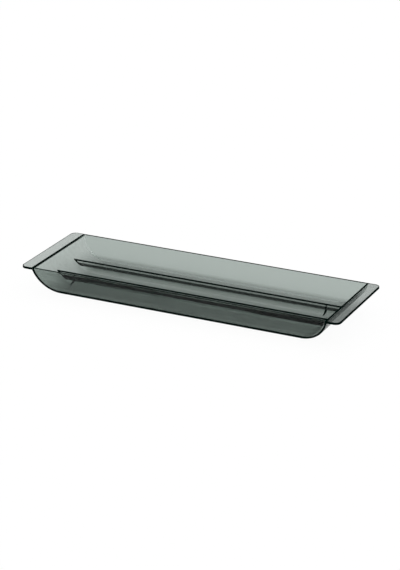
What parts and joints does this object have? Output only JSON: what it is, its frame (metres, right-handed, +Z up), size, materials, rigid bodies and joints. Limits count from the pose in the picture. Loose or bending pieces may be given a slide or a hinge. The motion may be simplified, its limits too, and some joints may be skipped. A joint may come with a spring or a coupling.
{
  "type": "drawer organizer",
  "caption": "Shallow transparent smoke-grey drawer organizer with long lanes between low dividers, curved ends and flat flanges that hang on the drawer's sides.",
  "frame": {"origin": "centre of the underside of the floor, at the middle of the tray's length and depth", "axes": "+X along the lanes towards the right flange, +Y from the front wall towards the back wall, +Z up out of the tray"},
  "size_m": [0.3252, 0.1026, 0.0234],
  "materials": {
    "pan_plastic": "clear smoke grey, gloss",
    "flange_plastic": "clear smoke grey, gloss",
    "wall_plastic": "clear smoke grey, gloss",
    "divider_plastic": "clear smoke grey, gloss",
    "web_plastic": "clear smoke grey, gloss"
  },
  "bodies": {
    "root": {"tray_pan": "pan_plastic", "left_flange": "flange_plastic", "right_flange": "flange_plastic", "front_wall": "wall_plastic", "back_wall": "wall_plastic", "front_divider": "divider_plastic", "back_divider": "divider_plastic", "front_divider_web": "web_plastic", "back_divider_web": "web_plastic"}
  },
  "joints": []
}
